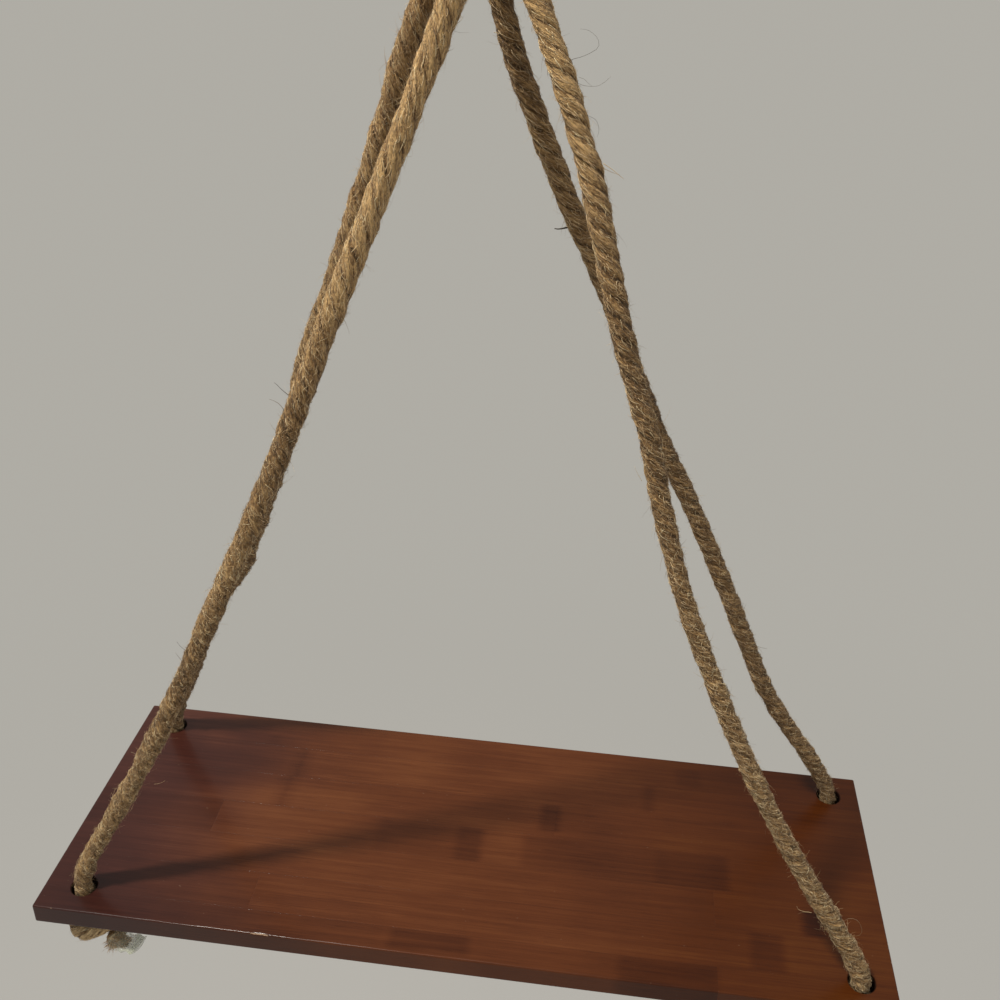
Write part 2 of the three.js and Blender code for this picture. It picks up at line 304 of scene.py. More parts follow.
def layRope(line, look, seed, girth=1.0, lay=None, matting=0.8, paler=0.0):
    # Ring points, and per face corner the place on a strand in mm: round it and along it.
    rng = np.random.default_rng(seed)
    along, length = alongLine(line), len(line)
    outer = look["diameter"] / 2 * np.broadcast_to(girth, length)
    normal, side = frames(line)
    count, columns = look["strands"], look["columns"]
    strand = look["strandShare"]  # strand radius when the rope's radius is 1
    reach = 1 - strand  # how far a strand's middle is from the rope's middle
    meeting = math.pi / count + math.asin(reach * math.sin(math.pi / count) / strand)
    around = np.linspace(-meeting, meeting, columns, endpoint=False)
    turn = (-2 * math.pi * np.cumsum(np.gradient(along) / (look["lay"] if lay is None else lay))
            + wander(rng, along, *look["slack"]))
    matted = np.broadcast_to(np.reshape(matting, (-1, 1)), (length, columns))
    rows, groove, tuftsToneAndShade = [], [], []
    for k in range(count):
        size = strand * (1 + wander(rng, along, *look["unevenness"]))
        shift = wander(rng, along, *look["shift"])
        twist = 2 * math.pi * along / look["yarnTwist"] + wander(rng, along, *look["yarnDrift"])
        yarn = (around + twist[:, None]) * look["yarns"] / (2 * math.pi)
        nth = np.floor(yarn)
        bulge = np.sqrt(np.clip(1 - (2 * (yarn - nth) - 1) ** 2, 0, 1))
        fat = np.sin(nth * 2.399 + k * 1.7 + along[:, None] / 17)  # some yarns stand proud
        mat = rng.normal(0, look["roughness"], (length, columns))
        mat = (mat + np.roll(mat, 1, 0) + np.roll(mat, -1, 0)) / 1.7
        lumps = rng.normal(0, 1.5, (length // 2 + 1, columns // 4 + 1))
        lumps = np.repeat(np.repeat(lumps, 2, 0), 4, 1)[:length, :columns]
        lumps = (lumps + np.roll(lumps, 1, 0) + np.roll(lumps, 1, 1) + np.roll(lumps, 2, 1)) / 3
        # Each point's tone: paler on the lumps' tops and the yarns' crests, darker in the pits and
        # at the yarns' edges (painted light and shade), with each yarn's own tone and the painted
        # light and shade along the rope.
        tuftsToneAndShade.append(lumps * matted + (fat * 1.2 + bulge - 0.7) * (1 - matted)
                     + np.reshape(paler, (-1, 1)))
        mat = mat * (0.4 + matted * 0.6) + lumps * matted * look["roughness"] * 0.7
        lift = (look["yarnDepth"] * (bulge - 0.75 + 0.35 * fat) + mat) / look["diameter"] * 2
        r = size[:, None] + lift * np.cos(around / meeting * math.pi / 2) ** 0.5
        x = reach + r * np.cos(around)
        y = r * np.sin(around)
        angle = np.arctan2(y, x) + 2 * math.pi * k / count + (turn + shift)[:, None]
        far = np.hypot(x, y) * outer[:, None]
        rows.append(line[:, None] + far[..., None] * (
            np.cos(angle)[..., None] * normal[:, None] + np.sin(angle)[..., None] * side[:, None]))
        # painted shade: how deep each point lies in the grooves between strands and between yarns
        groove.append(np.abs(around / meeting) ** 5 + 0.3 * (1 - bulge))
    marks = {"groove": np.concatenate(groove, 1), "tuft": np.concatenate(tuftsToneAndShade, 1),
             "matting": np.tile(matted, count)}
    thick = strand * look["diameter"] / 2
    u0 = np.tile(around, (length - 1, count))
    u1 = u0 + 2 * meeting / columns
    u = np.stack([u0, u1, u1, u0], -1) * thick
    v = np.stack([along[:-1], along[:-1], along[1:], along[1:]], -1)[:, None, :] + 0 * u
    u = u + v * 2 * math.pi / look["yarnTwist"] * thick
    u = u + np.repeat(np.arange(count) * 37.0, columns)[None, :, None]  # each strand its own part
    corners = np.stack([u, v], -1).reshape(-1, 2)
    corners = np.vstack([corners, np.zeros((2 * count * columns, 2))])  # the two ends
    return np.concatenate(rows, 1), gridFaces(length, count * columns), corners, marks


def ropeObject(name, line, look, seed, material, **varied):
    grid, faces, corners, marks = layRope(line, look, seed, **varied)
    piece = makeObject(name, grid, faces, material)
    layer = piece.data.uv_layers.new(name="strandMap")
    layer.uv.foreach_set("vector", (corners * mm).astype(np.float32).ravel())
    for label, values in marks.items():
        mark(piece, label, values)
    return piece, (grid, marks["tuft"], line)


# Loose fibres on a rope

hair = {"matted": 4, "loose": 4, "down": 3, "stray": 14, "frayed": 6,  # stations along a hair
        "sides": 3, "palestWithHighlight": 1.35}  # sides round it, and the shade of the brightest fibres, where a light one is 1: painted highlights as well as pale fibres


def hairObject(name, paths, widths, material, tip=0.25, shade=None):
    # Each hair is a thin tapering prism along its own path.
    paths = np.asarray(paths, float)
    count, stations = paths.shape[:2]
    tangent = unit(np.gradient(paths, axis=1))
    first = unit(np.cross(tangent, (0.31, 0.52, 0.79)))
    second = np.cross(tangent, first)
    angles = circle(hair["sides"])[:, None]
    width = widths[:, None] / 2 * (1 - (1 - tip) * np.linspace(0, 1, stations))
    ring = first[..., None, :] * np.cos(angles) + second[..., None, :] * np.sin(angles)
    each = stations * hair["sides"]
    faces = gridFaces(stations, hair["sides"])
    piece = makeObject(name, paths[:, :, None] + ring * width[..., None, None],
                       [[v + start for v in face] for start in range(0, count * each, each)
                        for face in faces], material)
    if shade is None:
        shade = np.random.default_rng(count).uniform(0, 1, count)
    mark(piece, "shade", np.repeat(shade / hair["palestWithHighlight"], each))
    return piece


def gridPoint(grid, line, i, j):
    # A place on the rope's surface between mesh points, and the way out from there.
    rows, sides = grid.shape[:2]
    i = np.clip(i, 0, rows - 1.001)
    i0 = i.astype(int)
    j0 = np.floor(j).astype(int)
    di, dj = (i - i0)[..., None], (j - j0)[..., None]

    def near(a):
        return grid[a, j0 % sides] * (1 - dj) + grid[a, (j0 + 1) % sides] * dj

    spot = near(i0) * (1 - di) + near(i0 + 1) * di
    middle = line[i0] * (1 - di) + line[i0 + 1] * di
    return spot, unit(spot - middle)


def mattedFibres(name, surface, perMillimetre, seed, material, matting=0.8, crossed=0.0,
                 lengths=(0.9, 3.4), widths=(0.1, 0.27), lift=0.3, paleness=0.82):
    # Fibres that lie on the rope, rooted in it at both ends. Where the rope is matted they are
    # short and lie every way. Where it is sleek they are long and follow the strands.
    rng = np.random.default_rng(seed)
    grid, tuftsToneAndShade, line = surface
    rows, sides = grid.shape[:2]
    matted = np.broadcast_to(matting, rows - 1)
    weight = 1 - crossed + crossed * (0.12 + matted)
    count = int(alongLine(line)[-1] * perMillimetre)
    each = (count, 1)
    start = rng.choice(rows - 1, each, p=weight / weight.sum())
    m = matted[start]
    t = np.linspace(0, 1, hair["matted"])
    length = rng.uniform(*lengths, each) * (1.9 - m)
    drift = rng.normal(1.4 * (1 - crossed), 0.6 + 2.2 * m + 2.0 * crossed)
    bend = rng.normal(0, 1 + 2.5 * m)
    i = start + rng.uniform(0, 1, each) + (t - 0.5) * length
    j = rng.uniform(0, sides, each) + (t - 0.5) * drift * length + bend * (t - 0.5) ** 2 * 4
    spot, out = gridPoint(grid, line, i, j)
    height = (rng.uniform(0.1, 1, each) * (lift * (0.8 + m * 0.6)) * np.sin(math.pi * t) * 2
              - 0.1)
    paths = spot + out * height[..., None]
    # Each fibre takes the tone of the rope under it, painted light and shade included.
    tuft = tuftsToneAndShade[np.clip(i[:, 1], 0, rows - 1).astype(int), np.floor(j[:, 1]).astype(int) % sides]
    shade = (paleness - 0.1 * m[:, 0] + tuft * (0.11 - 0.05 * m[:, 0])
             + (rng.uniform(0, 1, count) ** 1.6 - 0.385) * 1.05)  # few are much paler: pale fibres, partly painted highlights
    return hairObject(name, paths, rng.uniform(*widths, count), material, 0.6,
                      np.clip(shade, 0, hair["palestWithHighlight"]))


def flyawayFibres(name, surface, perMillimetre, seed, material, usual=1.4, longest=5.0,
                  widths=(0.06, 0.13), stations=None):
    # Hairs that stand off the rope, each with a bend of its own.
    rng = np.random.default_rng(seed)
    grid, _, line = surface
    rows, sides = grid.shape[:2]
    tangent = unit(np.gradient(line, axis=0))
    count = int(alongLine(line)[-1] * perMillimetre)
    each = (count, 1)
    i, j = rng.uniform(0, rows - 1.01, count), rng.uniform(0, sides, count)
    tufted = np.arange(count // 3) // 7 * 7  # a third of them stand in tufts of seven
    i[:len(tufted)] = i[tufted] + rng.normal(0, 0.3, len(tufted))
    j[:len(tufted)] = j[tufted] + rng.normal(0, 0.8, len(tufted))
    i = np.clip(i, 0, rows - 1.01)
    root, out = gridPoint(grid, line, i, j)
    flow = tangent[i.astype(int)] * rng.choice([-1.0, 1.0], each, p=[0.4, 0.6])
    around = np.cross(flow, out)
    first = unit(out * rng.uniform(0.3, 1.2, each) + flow * rng.uniform(0.1, 1.2, each)
                 + around * rng.normal(0, 0.6, each))
    bend = (flow * rng.normal(0.2, 0.4, each) + around * rng.normal(0, 0.5, each)
            - out * rng.uniform(0, 0.6, each))
    length = np.clip(rng.lognormal(math.log(usual), 0.5, each), 0.4, longest)[..., None]
    t = np.linspace(0, 1, stations or hair["loose"])[:, None]
    paths = (root - out * 0.2)[:, None] + length * (first[:, None] * t + bend[:, None] * t**2)
    return hairObject(name, paths, rng.uniform(*widths, count), material)


# Materials of jute

def juteFinish(name, dark, body, straw, seed):
    f = Finish(name)
    strand = f.split(f.node("UVMap", {"uv_map": "strandMap"}))
    u, v = (axis * (1 / mm) for axis in strand[:2])  # mm across the fibres and along them

    def fibresAt(degrees, shift):  # long thin fibres lying at an angle to the strand
        c, s = math.cos(math.radians(degrees)), math.sin(math.radians(degrees))
        return f.noise(((u * c + v * s) * 2.5, (v * c - u * s) * 0.5, seed + shift), 3, 0.6, 0.6)

    laid = fibresAt(4, 0)
    crossed = fibresAt(38, 5).most(fibresAt(-30, 9))
    patch = f.noise((u * 0.1, v * 0.05, seed + 3), 3)
    tuft = f.noise((u * 0.8, v * 0.5, seed + 7), 3, 0.6, 0.5)
    pitsAndShade = f.noise((u * 1.6, v * 1.0, seed + 11), 4, 0.7, 0.8)
    # the first of these marks darkens the grooves between strands and yarns: painted shade
    groove, matting, lumpToneAndShade = (f.mark(name) for name in ("groove", "matting", "tuft"))
    fibre = laid * (1 - matting * 0.6) + crossed * (matting * 0.55 + 0.15)
    # Clumps that stand out are paler and the hollows between them darker: painted light and shade
    # with the jute's own tone.
    tone = fibre * 1.6 + tuft * 0.55 + patch * 0.3 - 0.77 - matting * 0.26
    tone = tone - groove.least(1.2) * (1.1 - matting) * 0.4 + lumpToneAndShade * (0.1 - matting * 0.04)
    colour = f.ramp(tone, [(0.08, dark), (0.34, body), (0.62, straw),
                           (0.9, [min(1, c * 1.4) for c in straw])])
    # painted shade: the pits between the fibres are darkened
    shade = f.mix(pitsAndShade.ramp(0.53, 0.66) * (0.65 - matting * 0.3), colour, [c * 0.8 for c in dark])
    height = fibre * 1.1 + tuft * 0.5 - pitsAndShade.ramp(0.53, 0.7) * 0.5
    return f.shade({"Base Color": shade, "Roughness": 0.85, "Sheen Weight": 0.1,
                    "Sheen Roughness": 0.5, "Specular IOR Level": 0.25}, height, 0.55)


def hairFinish(name, dark, usual, light):
    # Each fibre has a shade of its own.
    f = Finish(name)
    # the brightest stop is partly painted highlight on a few fibres
    palestWithHighlight = [min(1, c * 1.1 + 0.1) for c in light]
    colour = f.ramp(f.mark("shade"), [(0.08 / hair["palestWithHighlight"], dark), (0.5 / hair["palestWithHighlight"], usual),
                                      (1 / hair["palestWithHighlight"], light), (1, palestWithHighlight)])
    return f.shade({"Base Color": colour, "Roughness": 0.5, "Specular IOR Level": 0.4,
                    "Sheen Weight": 0.15, "Sheen Roughness": 0.5})


ropeFinish = juteFinish("jute_rope_finish", (0.068, 0.036, 0.012), (0.26, 0.145, 0.055),
                        (0.56, 0.36, 0.155), 1.3)
matFinish = hairFinish("jute_mat_finish", (0.13, 0.074, 0.028), (0.34, 0.2, 0.08),
                       (0.92, 0.68, 0.38))
# The knots: a paler copy of the rope's finish, painted light on the knots in the board's shade.
knotPaintedLightFinish = juteFinish("knotted_jute_painted_light_finish", (0.07, 0.036, 0.012), (0.38, 0.23, 0.1),
                        (0.76, 0.54, 0.28), 3.7)
fuzzFinish = hairFinish("jute_hair_finish", (0.17, 0.1, 0.04), (0.46, 0.3, 0.13),
                        (0.8, 0.6, 0.33))
darkHairFinish = hairFinish("dark_hair_finish", (0.05, 0.035, 0.02), (0.11, 0.075, 0.04),
                            (0.2, 0.14, 0.08))

# Single stray hairs that the photo shows, in mm: the width of each, and the points it passes.
strayHairs = {
    "dark": [
        (0.17, [(28.2, -12.5, 376.4), (29.5, -12.7, 376.9), (31.5, -12.8, 377.5),
         (34.7, -12.9, 379), (37.1, -13, 380.9), (36.9, -13.1, 383), (35.3, -13.3, 384.8),
         (33, -13.4, 386), (30.7, -13.5, 386.2)]),
        (0.15, [(30.7, -13.4, 369.4), (33.1, -13.6, 368.7), (35.8, -13.8, 368.6), (38.1, -14, 369),
         (40.4, -14.2, 370.6), (41.9, -14.4, 372.1)]),
        (0.13, [(31.2, -13.2, 371.2), (33, -13.5, 370.7), (34.4, -13.8, 369.6),
         (35.8, -14.1, 368.7)]),
        (0.15, [(34.6, -14.7, 359.4), (37.6, -15, 358.3), (38.7, -15.2, 356.8),
         (39.2, -15.4, 354.6), (38.7, -15.7, 352.6)]),
        (0.3, [(-72, -28, 252.8), (-74.9, -28.3, 255.5), (-76.2, -28.6, 257.2),
         (-77.2, -28.9, 258.2)]),
        (0.26, [(-74, -28.8, 246.8), (-76, -29.1, 249.6), (-77.6, -29.4, 250.7),
         (-79.3, -29.7, 251.5)]),
        (0.9, [(28.6, 17.8, 311.6), (26.6, 17.5, 311.1), (24.9, 17.2, 310.9),
         (23.6, 16.9, 311.1)]),
        (0.2, [(-119.4, -43, 135.4), (-122.5, -43.6, 138.7), (-123.7, -44, 141.5)]),
        (0.2, [(-120.8, -44, 128.5), (-123.2, -44.5, 132.9), (-124.5, -45, 136.3)]),
        (0.24, [(128.4, 43.4, 106.2), (132.3, 42.8, 104.9), (135.7, 42.6, 104.7)]),
        (0.22, [(97, 34.8, 173.9), (100.3, 34.4, 173.2), (102.4, 34, 174.2)]),
    ],
    "pale": [
        (0.24, [(-0.2, 5.6, 381.7), (2.3, 5.2, 381.3), (4.7, 4.9, 380.3), (7.6, 5.2, 379.5),
         (10.4, 6, 379.1)]),
        (0.22, [(170.1, -56.1, 31.8), (170.8, -56.2, 34.3), (172.3, -56.4, 36.6),
         (174.3, -56.5, 37.1), (176.6, -56.6, 36.1), (178.3, -56.7, 33.4), (179.3, -56.8, 30.2),
         (178.7, -57, 27.7), (176.9, -57.1, 27.1), (173.6, -57.2, 27.8)]),
        (0.26, [(156.5, -56.3, 37.6), (152.8, -56.6, 38.1), (150.5, -56.9, 39.3),
         (149.5, -57.2, 41.3)]),
        (0.22, [(155.5, -56.3, 38.2), (152.1, -56.7, 37.1), (150.6, -57.1, 36.6)]),
        (0.26, [(161.5, -56, 38.5), (163.2, -56.3, 43), (163.2, -56.6, 45.9), (162, -56.9, 48.2)]),
        (0.26, [(-147.8, -53.7, 84.9), (-144.5, -54.7, 85.1), (-141.2, -54.9, 85.6),
         (-137.5, -54.7, 85.2)]),
        (0.14, [(-139.9, -52.7, 66), (-137.6, -52.9, 66.9), (-135.6, -53.1, 68.2),
         (-134.2, -53.3, 69.6)]),
        (0.3, [(41.5, -16.7, 344.2), (44.6, -17, 342.5), (46.8, -17.3, 341), (49, -17.6, 339.5)]),
        (0.24, [(40.8, -16.8, 343), (44.4, -17.2, 341.6), (47.5, -17.6, 340.8)]),
        (0.2, [(65, -31.4, 230.3), (62.9, -31.7, 233.9), (61.7, -32, 236.6)]),
    ],
}


def stageStrayHairs():
    for kind, material in (("dark", darkHairFinish), ("pale", fuzzFinish)):
        widths, routes = zip(*strayHairs[kind])
        lines = [smoothLine(points, 0.2) for points in routes]
        paths = [between(np.linspace(0, len(line) - 1, hair["stray"]), np.arange(len(line)), line)
                 for line in lines]
        piece = hairObject(kind + "_stray_hairs", paths, np.array(widths), material, tip=0.45)
        settle("shelf", "jute_rope", piece)
        print(len(paths), kind, "stray hairs placed")


# Along each rope, by share of its length: how thick it is (of the diameter), how matted it is,
# how long a turn of its strands is in mm, and how much lighter (above 0) or darker (below 0) its
# jute is painted: painted light and shade along the rope, with some tone of its own.
alongRope = {
    "front_rope": {
        "girth": ([0, 0.03, 0.12, 0.3, 0.42, 0.5, 0.58, 0.64, 0.7, 0.78, 0.88, 0.97, 1],
                  [0.85, 0.84, 0.8, 0.9, 0.9, 0.92, 0.82, 0.86, 0.86, 0.77, 0.76, 0.82, 0.82]),
        "matting": ([0, 0.14, 0.24, 0.32, 0.66, 0.76, 0.88, 1],
                    [0.9, 0.9, 0.55, 0.1, 0.1, 0.5, 0.8, 0.9]),
        "lay": ([0, 0.3, 0.44, 0.56, 1], [30, 33, 33, 23, 25]),
        # painted light above 0 and painted shade below 0 along the front rope
        "paler": ([0.02, 0.09, 0.14, 0.19, 0.24, 0.29, 0.34, 0.5, 0.62, 0.66, 0.71, 0.76,
                   0.86, 0.95, 0.98],
                  [0.3, 0, -1.2, 0.9, -1.8, 0.3, 0.8, 0, 0.8, 0, -2.2, -1.3, 0.3, 0.3, 1]),
    },
    "back_rope": {
        "girth": ([0, 0.03, 0.3, 0.5, 0.6, 0.8, 0.95, 1],
                  [0.84, 0.86, 0.88, 0.92, 0.83, 0.82, 0.78, 0.82]),
        "matting": ([0, 0.14, 0.3, 0.66, 0.8, 1], [0.9, 0.9, 0.4, 0.25, 0.5, 0.8]),
        "lay": ([0, 0.45, 0.55, 1], [27, 27, 24, 24]),
        # painted shade along the back rope, most of it on its right leg
        "paler": ([0.4, 0.5, 0.62, 0.66, 0.71, 0.76, 0.81, 0.86, 0.91, 0.98],
                  [-0.5, 0, -2.3, -0.5, -1.3, -2, -1, -0.3, -0.8, 0]),
    },
}


def stageRopes():
    made = {}
    routes = {"front_rope": frontRoute, "back_rope": backRoute}
    for number, (name, route) in enumerate(routes.items()):
        seeds = {use: seed + number for use, seed in rope["seeds"].items()}
        line = smoothLine(route, rope["step"])
        share = np.linspace(0, 1, len(line))
        girth, matting, lay, paler = (np.interp(share, *alongRope[name][of])
                                      for of in ("girth", "matting", "lay", "paler"))
        lumpy = wander(np.random.default_rng(seeds["lumps"]), alongLine(line), *rope["girthLumps"])
        girth = girth * (1 + lumpy * (0.3 + matting * 0.7))
        piece, surface = ropeObject(name + "_laid", line, rope, seeds["laid"], ropeFinish,
                                    girth=girth, lay=lay, matting=matting, paler=paler)
        fibres = [
            mattedFibres(name + "_matted_fibres", surface, rope["fibres"], seeds["matted"],
                         matFinish, matting[:-1]),
            mattedFibres(name + "_crossed_fibres", surface, rope["fibres"], seeds["crossed"],
                         matFinish, matting[:-1], crossed=1.0, widths=(0.08, 0.2)),
            flyawayFibres(name + "_loose_fibres", surface, rope["fibres"], seeds["loose"],
                          fuzzFinish, usual=1.8, widths=(0.07, 0.18)),
            flyawayFibres(name + "_down", surface, rope["down"], seeds["down"], fuzzFinish,
                          usual=1.05, longest=2.4, widths=(0.08, 0.15), stations=hair["down"]),
        ]
        settle("shelf", "jute_rope", piece, *fibres)
        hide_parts(name)
        made[name] = (piece, fibres, line)
        print(name, "laid,", round(alongLine(line)[-1] / 1000, 4), "m")
    return made


# Board: staves glued side by side, some of them butted from two lengths

board = {
    "length": 400, "width": 147, "thickness": 10.5, "stave": 22.3,
    "outerEdge": 0.7, "seamEdge": 0.03,  # rounding of the board's own edges and of the seams
    "edgeWear": (9, 0.16),  # over how many mm the front edge's rounding varies, and by what
    "alongStep": 1.0, "acrossStep": 2.0, "endStep": 0.6, "edgeStep": 0.008,  # a share of a side
    "endShares": (0, 0.08, 0.25, 0.55, 1), "cornerCuts": 5, "sharpFrom": 38,  # degrees
    "holeRadius": 6, "flare": 0.5, "holeSides": 48,
    "holes": {"front_left": (-181, -58.5), "front_right": (184.5, -58.5),
              "back_left": (-181, 58.5), "back_right": (184.5, 58.5)},
    "chipRun": 0.8,  # mm in which a chip reaches its depth
    # Wear along the front top edge: from, to (mm from the left end), depth of the chip
    "chips": [(53.5, 78, 0), (84, 105.7, 0), (106.2, 114.4, 0.7), (8.9, 10.2, 0.3),
              (25.1, 26.3, 0.3), (197, 198.4, 0)],
    # The same along the right end's top edge, in mm from the back edge
    "endChips": [(107.9, 109.6, 0.4), (119.2, 120.6, 0.3), (71, 73, 0)],
}

# Each stave: where it is butted, how dark its lengths are, where its bamboo nodes are (mm from
# the left end), and darker or paler patches: from, to, first and last share of its width, tone. Two
# dark ones are painted shadow of the front rope's right leg.
staves = [
    {"butt": None, "tone": (0.0, 0.0), "nodes": [],
     # 303 to 316 mm: painted shadow of the front rope's right leg
     "blocksAndShadows": [(75, 82, 0.6, 1, -0.1), (303, 316, 0.3, 0.9, -0.16), (180, 240, 0, 0.45, 0.08)]},
    {"butt": None, "tone": (0.05, 0.05), "nodes": [98],
     "blocksAndShadows": [(105, 182, 0.02, 0.16, 0.22), (105, 200, 0.82, 0.95, 0.26),
                # 285 to 291 mm: painted shadow of the front rope's right leg
                (150, 205, 0.55, 0.68, 0.16), (285, 291, 0.0, 0.9, -0.2)]},
    {"butt": 0.6, "tone": (0.08, 0.0), "nodes": [95.5],
     "blocksAndShadows": [(232, 242, 0.0, 0.85, -0.34), (104, 204, 0.4, 1, 0.08)]},
    {"butt": 0.165, "tone": (-0.16, 0.06), "nodes": [],
     "blocksAndShadows": [(191, 204, 0, 1, -0.36), (225, 292, 0.05, 1, -0.16), (292, 328, 0.02, 1, -0.3),
                (150, 191, 0.05, 1, -0.1)]},
    {"butt": 0.8, "tone": (0.04, 0.04), "nodes": [],
     "blocksAndShadows": [(361.5, 371, 0.3, 0.95, -0.6), (68, 130, 0.1, 0.28, 0.2),
                (112, 204, 0.4, 0.5, 0.16), (228, 300, 0.6, 0.75, -0.1)]},
    {"butt": 0.25, "tone": (-0.03, 0.03), "nodes": [],
     "blocksAndShadows": [(336, 351, 0.0, 0.95, -0.3), (110, 176, 0.4, 0.52, 0.2),
                (100, 160, 0.76, 0.9, 0.24), (344, 350, 0.1, 0.2, 0.5)]},
    {"butt": 0.8, "tone": (-0.1, 0.06), "nodes": [],
     "blocksAndShadows": [(170, 207, 0, 0.5, -0.26), (275, 320, 0, 0.8, -0.2), (96, 128, 0.3, 0.5, 0.2)]},
]


def staveShell(left, right, front, back):
    # A long block with rounded edges. The board's own edges are rounder than the seams.
    halfLength, halfWidth = board["length"] / 2, board["width"] / 2
    outer = board["outerEdge"]
    fromOuter = (left + halfLength, halfLength - right, front + halfWidth, halfWidth - back)
    leftEnd, rightEnd, frontEdge, backEdge = (
        outer if far <= 0 else board["seamEdge"] for far in fromOuter)
    rng = np.random.default_rng(int(abs(left * 7 + front * 3)))
    ends = []
    for radius in (leftEnd, rightEnd):
        steps = np.array(board["endShares"]) * radius
        ends.append((steps, radius - np.sqrt(radius**2 - (radius - steps) ** 2)))
    first, last = left + leftEnd + board["endStep"], right - rightEnd - board["endStep"]
    middle = np.arange(first, last, board["alongStep"])
    x = np.concatenate([left + ends[0][0], middle, (right - ends[1][0])[::-1]])
    inset = np.concatenate([ends[0][1], np.zeros(len(middle)), ends[1][1][::-1]])
    frontTop = frontEdge * (1 + wander(rng, x, *board["edgeWear"]))
    if frontEdge == outer:
        for start, stop, depth in board["chips"]:
            inside = np.minimum(x + halfLength - start, stop - x - halfLength)
            frontTop = frontTop + depth * np.clip(inside / board["chipRun"], 0, 1)
    inner = np.arange(1, max(2, round((back - front) / board["acrossStep"])))
    shares = np.concatenate([[board["edgeStep"]], inner / (inner[-1] + 1), [1 - board["edgeStep"]]])
    quarter = np.linspace(0, math.pi / 2, board["cornerCuts"])
    rows = []
    for place, shrink, top in zip(x, inset, frontTop):
        low, high = -board["thickness"] + shrink, -shrink
        near, far = front + shrink, back - shrink
        corners = [(far, high, -1, -1, backEdge), (near, high, 1, -1, top),
                   (near, low, 1, 1, frontEdge), (far, low, -1, 1, backEdge)]
        arcs = [[(place, y + inY * radius * (1 - math.cos(a)), z + inZ * radius * (1 - math.sin(a)))
                 for a in quarter[::inY * inZ]] for y, z, inY, inZ, radius in corners]
        ring = []
        for arc, following in zip(arcs, arcs[1:] + arcs[:1]):
            start, stop = np.array(arc[-1]), np.array(following[0])
            ring += arc + [start + (stop - start) * share for share in shares]
        rows.append(ring)
    return np.array(rows)


def drillTool(x, y, past=2):
    # A drill with a flared shoulder for each mouth of the hole.
    radius, flare, deep = board["holeRadius"], board["flare"], board["thickness"]
    profile = [(radius + past + flare, -deep - past), (radius + flare, -deep),
               (radius, -deep + flare), (radius, -flare), (radius + flare, 0),
               (radius + past + flare, past)]
    return lathe("drill", profile, board["holeSides"], None, x, y)


def stageBoard():
    halfLength, halfWidth = board["length"] / 2, board["width"] / 2
    reach = board["holeRadius"] + board["flare"]
    for number, stave in enumerate(staves):
        back = halfWidth - number * board["stave"]
        front = max(back - board["stave"], -halfWidth)
        joints = [-halfLength, halfLength]
        if stave["butt"]:
            joints.insert(1, (stave["butt"] - 0.5) * board["length"])
        for part, (left, right) in enumerate(zip(joints, joints[1:])):
            name = f"stave_{number + 1}" + ("" if len(joints) == 2 else ("_left", "_right")[part])
            material = bambooFinish(name + "_finish", number, part, stave)
            shell = staveShell(left, right, front, back)
            piece = makeObject(name + "_wood", shell, gridFaces(*shell.shape[:2]), material)
            for x, y in board["holes"].values():
                if left - reach < x < right + reach and front - reach < y < back + reach:
                    cutHole(piece, drillTool(x, y))
            piece.data.set_sharp_from_angle(angle=math.radians(board["sharpFrom"]))
            addWear(piece)
            settle("shelf", "stained_bamboo", piece)
            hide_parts(name)
    print("board glued up from", len(staves), "staves")


def cutHole(piece, tool):
    cut = piece.modifiers.new("hole", "BOOLEAN")
    cut.operation, cut.solver, cut.object = "DIFFERENCE", "EXACT", tool
    bored = piece.evaluated_get(bpy.context.evaluated_depsgraph_get())
    drilled = bpy.data.meshes.new_from_object(bored)
    piece.modifiers.clear()
    piece.data = drilled
    bpy.data.objects.remove(tool)


def addWear(piece):
    # How far the stain is rubbed off the board's outer edges, at each point.
    spots = np.zeros(len(piece.data.vertices) * 3)
    piece.data.vertices.foreach_get("co", spots)
    x, y, z = (spots.reshape(-1, 3) / mm + (0, 0, hangHeight)).T
    left, back = x + board["length"] / 2, board["width"] / 2 - y
    wear = np.zeros(len(x))
    sides = [(board["chips"], left, board["width"] - back),
             (board["endChips"], back, board["length"] - left)]
    for chips, place, inwards in sides:
        fromEdge = np.maximum(-z, inwards)
        for start, stop, depth in chips:
            band = 0.45 * (board["outerEdge"] + depth)
            near = np.clip(1 - (fromEdge - band) / 0.2, 0, 1) * min(1, 0.45 + depth)
            within = np.clip(np.minimum(place - start, stop - place) + 0.5, 0, 1)
            wear = np.maximum(wear, near * within)
    mark(piece, "wear", np.clip(wear, 0, 1))


stains = {  # from the left end to the right one: the stain on dark, usual and pale bamboo; the purplish one at the left end is partly stain, partly a painted sheen of the lacquer
    "purpleAndSheen": [(0.022, 0.006, 0.005), (0.058, 0.017, 0.012), (0.115, 0.04, 0.028)],
    "brown": [(0.036, 0.0075, 0.002), (0.112, 0.031, 0.009), (0.205, 0.069, 0.022)],
    "orange": [(0.026, 0.005, 0.001), (0.08, 0.019, 0.003), (0.15, 0.046, 0.008)],
}


